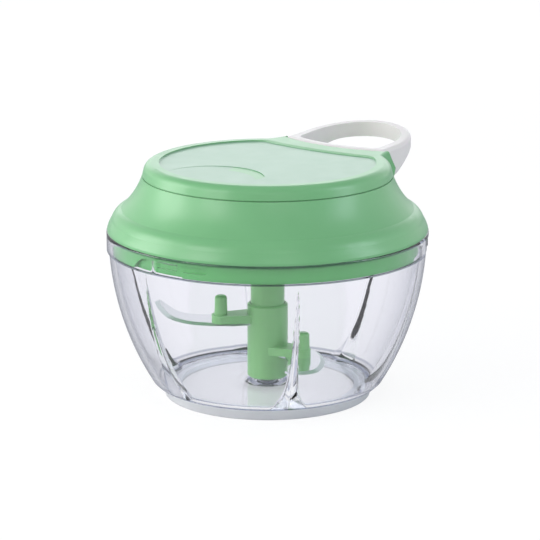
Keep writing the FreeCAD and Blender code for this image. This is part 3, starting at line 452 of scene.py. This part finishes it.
def off_nearest(degrees, first_deg, count):
    """How far a direction is from the nearest of equal parts about the axis, to its left or right."""
    step = 360.0 / count
    return (degrees - first_deg + step / 2) % step - step / 2


def soft_min(a, b, width):
    """The lesser of two numbers, and a little less where they are within width of each other."""
    near = max(width - abs(a - b), 0.0) / width
    return min(a, b) - near * near * width / 4


def bowl_outline():
    """Half of the bowl's section, from the middle of its underside round the wall to the middle of its floor."""
    centre = Vector((WALL_TOP_R - WALL_ARC_R, WALL_ARC_Z))
    fillet_z = FLOOR_Z + FLOOR_FILLET
    fillet_r = centre.x + math.sqrt((WALL_ARC_R - WALL_T - FLOOR_FILLET) ** 2 - (fillet_z - centre.y) ** 2)
    touch_deg = math.degrees(math.atan2(fillet_z - centre.y, fillet_r - centre.x))
    touch_z = fillet_z + FLOOR_FILLET * math.sin(math.radians(touch_deg))
    outline = [(r, UNDER_Z) for r in (*UNDER_RINGS, TONGUE_IN_R)]
    outline += [(TONGUE_IN_R, TONGUE_Z), (TONGUE_R, TONGUE_Z), (TONGUE_R, SEAT_Z), (SEAT_R, SEAT_Z), LEDGE_MIDDLE]
    outline += [(on_wall(z), z) for z in rows(WALL_FOOT_Z, COLLAR_Z, OUTER_ROWS)]
    outline += [(COLLAR_R, z) for z in (COLLAR_Z, COLLAR_Z + 4 * STEP, WINDOW_TOP - STEP, WINDOW_TOP + STEP)]
    outline += arc((COLLAR_R - RIM_ROUND, RIM_Z - RIM_ROUND), RIM_ROUND, 0, 90, RIM_ROWS)
    outline += arc((COLLAR_IN_R + RIM_ROUND, RIM_Z - RIM_ROUND), RIM_ROUND, 90, 180, RIM_ROWS)
    lug_edges = (LUG_HIGH + STEP, LUG_HIGH - STEP, LUG_LOW + STEP, LUG_LOW - STEP)
    outline += [(COLLAR_IN_R, z) for z in (*lug_edges, COLLAR_Z)]
    outline += [(on_wall(z, WALL_T), z) for z in rows(COLLAR_Z, touch_z, INNER_ROWS)]
    outline += arc((fillet_r, fillet_z), FLOOR_FILLET, touch_deg, -90, FILLET_ROWS)[1:]
    outline += [(r, FLOOR_Z) for r in (*FLOOR_RINGS, FLAT_R)]
    return outline + [*BOSS_SLOPE, (0.0, BOSS_Z)]


def rib_face(height, degrees):
    """The radius of a rib's skin: a narrow ridge on the wall, which flares like a trumpet at its foot."""
    fade = math.sqrt(max(0.0, 1.0 - (height - FLOOR_Z) / RIB_SPAN))
    flare = math.exp(-height / RIB_FLARE_H)
    half, depth = (RIB_W * fade + RIB_FLARE_W * flare) / 2, RIB_DEPTH * fade + RIB_FLARE_DEPTH * flare
    wall = on_wall(height, WALL_T)
    aside = math.radians(abs(off_nearest(degrees, RIB_FIRST_DEG, RIB_COUNT))) * wall
    share = (math.hypot(aside, RIB_RIDGE_ROUND) - RIB_RIDGE_ROUND) / max(half, RIB_RIDGE_ROUND)
    fullness = RIB_FULLNESS - (RIB_FULLNESS - RIB_FOOT_FULLNESS) * math.exp(-(height - FLOOR_Z) / RIB_FLARE_H)
    return wall + RIB_SEAT - (depth + RIB_SEAT) * max(0.0, 1.0 - share) ** fullness


def clear_bowl():
    """The bowl as one clear piece, spun and then shaped: ribs, bayonet lugs and the windows in its collar.

    Light passes it, so that what stands in it isn't dark.
    """
    form = bmesh.new()
    spots = [form.verts.new((r * MM, 0.0, z * MM)) for r, z in bowl_outline()]
    edges = [form.edges.new(pair) for pair in zip(spots, spots[1:])]
    first = Matrix.Rotation(math.radians(RIB_FIRST_DEG), 3, "Z")
    bmesh.ops.rotate(form, verts=spots, cent=(0, 0, 0), matrix=first)
    bmesh.ops.spin(form, geom=spots + edges, cent=(0, 0, 0), axis=(0, 0, 1), angle=math.tau, steps=BOWL_COLUMNS,
                   use_merge=True)
    bmesh.ops.remove_doubles(form, verts=form.verts, dist=1e-7)
    bmesh.ops.recalc_face_normals(form, faces=form.faces)
    for spot in form.verts:
        x, y, height = spot.co / MM
        radius = math.hypot(x, y)
        if radius < FLAT_R:
            continue
        degrees = math.degrees(math.atan2(y, x))
        # Columns stand close together at the ribs, and two of them on each border of a lug.
        turn = off_nearest(degrees, RIB_FIRST_DEG, RIB_COUNT)
        swing = math.radians(turn * RIB_COUNT)
        degrees -= RIB_CROWDING * math.degrees(math.sin(swing)) / RIB_COUNT
        apart = 360.0 / BOWL_COLUMNS * (1.0 - RIB_CROWDING * math.cos(swing))
        hold = min(max((height - COLLAR_Z) / COLUMN_SHIFT_H + 1.0, 0.0), 1.0)
        for border in (LUG_DEG - LUG_HALF_DEG, LUG_DEG + LUG_HALF_DEG):
            off = off_nearest(degrees, border, LUG_COUNT)
            if abs(off) < apart:
                degrees += (math.copysign(LUG_SLOPE_DEG, off) - off) * hold
        below_collar = height < COLLAR_Z - TOUCH
        inner = radius < (on_wall(height) - WITHIN_WALL if below_collar else COLLAR_IN_R + TOUCH)
        on_lug = LUG_LOW < height < LUG_HIGH and abs(off_nearest(degrees, LUG_DEG, LUG_COUNT)) < LUG_HALF_DEG
        if inner and below_collar and height > FLOOR_Z + TOUCH:
            radius = soft_min(radius, rib_face(height, degrees), RIB_BLEND)
        elif inner and on_lug:
            radius -= LUG_OUT
        elif radius > COLLAR_R - NEAR_COLLAR and height < WINDOW_TOP:
            within = WINDOW_HALF_DEG - abs(off_nearest(degrees, WINDOW_DEG, LUG_COUNT))
            share = min(max(within / WINDOW_SLOPE_DEG + 0.5, 0.0), 1.0)
            radius -= WINDOW_DEPTH * share * share * (3.0 - 2.0 * share)
        turned = math.radians(degrees)
        spot.co = (radius * math.cos(turned) * MM, radius * math.sin(turned) * MM, height * MM)
    made = piece("bowl_clear", form, clear, "bowl", sharp_deg=35.0)
    made.visible_shadow = False
    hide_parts("bowl")


def string_line():
    """The string from the coil round the eyelet's mouth to the knot."""
    form = bmesh.new()
    tip = []

    def grown(way, count):
        for _ in range(count):
            made = bmesh.ops.extrude_face_region(form, geom=tip)["geom"]
            tip[:] = [part for part in made if isinstance(part, bmesh.types.BMFace)]
            bmesh.ops.translate(form, verts=tip[0].verts[:], vec=way / count)

    way = (STRING_CORNER - STRING_START).normalized()
    heading = math.atan2(way.y, way.x)
    bend_r = BEND_R * MM
    cut = bend_r * math.tan(heading / 2)
    across = way.to_track_quat("Z", "Y").to_matrix().to_4x4()
    bmesh.ops.create_circle(form, cap_ends=True, radius=STRING_D * MM / 2, segments=STRING_SIDES,
                            matrix=Matrix.Translation(STRING_START) @ across)
    tip.extend(form.faces)
    grown(STRING_CORNER - STRING_START - way * cut, START_STEPS)
    made = bmesh.ops.spin(form, geom=tip, cent=STRING_CORNER + Vector((cut, -bend_r, 0.0)), axis=(0.0, 0.0, 1.0),
                          angle=-heading, steps=BEND_STEPS)["geom_last"]
    tip[:] = [part for part in made if isinstance(part, bmesh.types.BMFace)]
    grown(STRING_KNOT - STRING_CORNER - Vector((cut, 0.0, 0.0)), END_STEPS)
    bmesh.ops.recalc_face_normals(form, faces=form.faces)
    made = piece("string_line", form, braid, None, sharp_deg=60.0)
    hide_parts("string_lead")
    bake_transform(made)


clear_bowl()
string_line()


# Camera, light and background

def back_from(azimuth, elevation):
    """The direction from the object to something that looks at it."""
    return Vector((math.sin(azimuth) * math.cos(elevation), -math.cos(azimuth) * math.cos(elevation),
                   math.sin(elevation)))


def look_at_aim(looker, azimuth, elevation, distance):
    """Puts a camera or lamp in its place and turns it toward the object."""
    back = back_from(azimuth, elevation)
    looker.location = AIM + back * distance
    looker.rotation_mode = "QUATERNION"
    looker.rotation_quaternion = (-back).to_track_quat("-Z", "Y")


def make_camera():
    """The photograph's camera, with a lens for a sensor 36 mm wide."""
    data = bpy.data.cameras.new("camera")
    data.lens = CAMERA_LENS
    data.sensor_width = 36.0
    data.shift_x = CAMERA_SHIFT
    data.clip_start, data.clip_end = 0.01, 20.0
    camera = placed("camera", data)
    look_at_aim(camera, CAMERA_AZIMUTH, CAMERA_ELEVATION, CAMERA_DISTANCE)
    bpy.context.scene.camera = camera


def soft_box(name, azimuth, elevation, distance, width, height, power, tint):
    """A rectangular lamp that looks at the object. Azimuths count from the photograph's camera."""
    data = bpy.data.lights.new(name, "AREA")
    data.shape = "RECTANGLE"
    data.size, data.size_y = width, height
    data.energy = power
    data.color = tint
    lamp = placed(name, data)
    look_at_aim(lamp, CAMERA_AZIMUTH + math.radians(azimuth), math.radians(elevation), distance)
    lamp.visible_camera = False
    lamp.visible_transmission = False


def light_paths(f):
    """Shares of 0 or 1 for a ray that shows the background, one mirrored to it, and one through something clear."""
    rays = {wire.socket.name: wire for wire in f.node("ShaderNodeLightPath")}
    clear_way = rays["Is Transmission Ray"]
    mirrored = (rays["Is Glossy Ray"] - clear_way).clamped()
    seen = rays["Is Camera Ray"] + (mirrored + clear_way) * rays["Diffuse Depth"].below(0.5)
    return seen.clamped(), mirrored, clear_way


def make_floor():
    """White where the camera sees it, a dim grey table in a gloss, and matt for the shadow."""
    f = Finish("floor")
    seen, mirrored, _ = light_paths(f)
    matt = f.node("ShaderNodeBsdfDiffuse", None, {"Color": FLOOR_TONE})[0]
    tone = f.mix(mirrored, WHITE, DIM_TONE)
    bright = f.node("ShaderNodeEmission", None, {"Color": tone, "Strength": FLOOR_GLOW})[0]
    both = f.node("ShaderNodeMixShader", None, {0: seen * FLOOR_GLOW_SHARE, 1: matt, 2: bright})[0]
    f.node("ShaderNodeOutputMaterial", None, {"Surface": both})
    data = bpy.data.meshes.new("floor")
    form = bmesh.new()
    bmesh.ops.create_grid(form, x_segments=1, y_segments=1, size=FLOOR_REACH)
    form.to_mesh(data)
    form.free()
    data.materials.append(f.material)
    placed("floor", data)


def make_world():
    """A studio with white walls behind the object, dim overhead and where the photographer stands."""
    world = bpy.data.worlds.new("studio")
    bpy.context.scene.world = world
    world.use_nodes = True
    world.node_tree.nodes.clear()
    f = Finish.for_tree(world.node_tree)
    seen, mirrored, clear_way = light_paths(f)
    way = f.node("ShaderNodeTexCoord")[0]
    front = back_from(CAMERA_AZIMUTH, 0.0)
    facing = f.node("ShaderNodeVectorMath", {"operation": "DOT_PRODUCT"}, {0: way, 1: front})[1]
    # Overhead goes from 20 to 49 degrees up, and the near side from 84 to 53 degrees off the camera's direction.
    overhead = f.xyz(way)[2].ramp(0.35, 0.4)
    near_side = facing.ramp(0.1, 0.5)
    dim = (overhead + near_side).clamped() * (mirrored + clear_way * DIM_THROUGH_CLEAR)
    wall = f.mix(dim, WHITE, DIM_TONE)
    level = WALL_LIGHT + overhead * (OVERHEAD_LIGHT - WALL_LIGHT)
    room = f.node("ShaderNodeBackground", None, {"Color": ROOM_TINT, "Strength": level})[0]
    shown = f.node("ShaderNodeBackground", None, {"Color": wall, "Strength": 1.0})[0]
    both = f.node("ShaderNodeMixShader", None, {0: seen, 1: room, 2: shown})[0]
    f.node("ShaderNodeOutputWorld", None, {"Surface": both})


make_camera()
make_floor()
make_world()
for name, (azimuth, elevation, distance, width, height, power, tint) in LAMPS.items():
    soft_box(name, azimuth, elevation, distance, width, height, power, tint)
bpy.context.scene.view_settings.view_transform = "Standard"
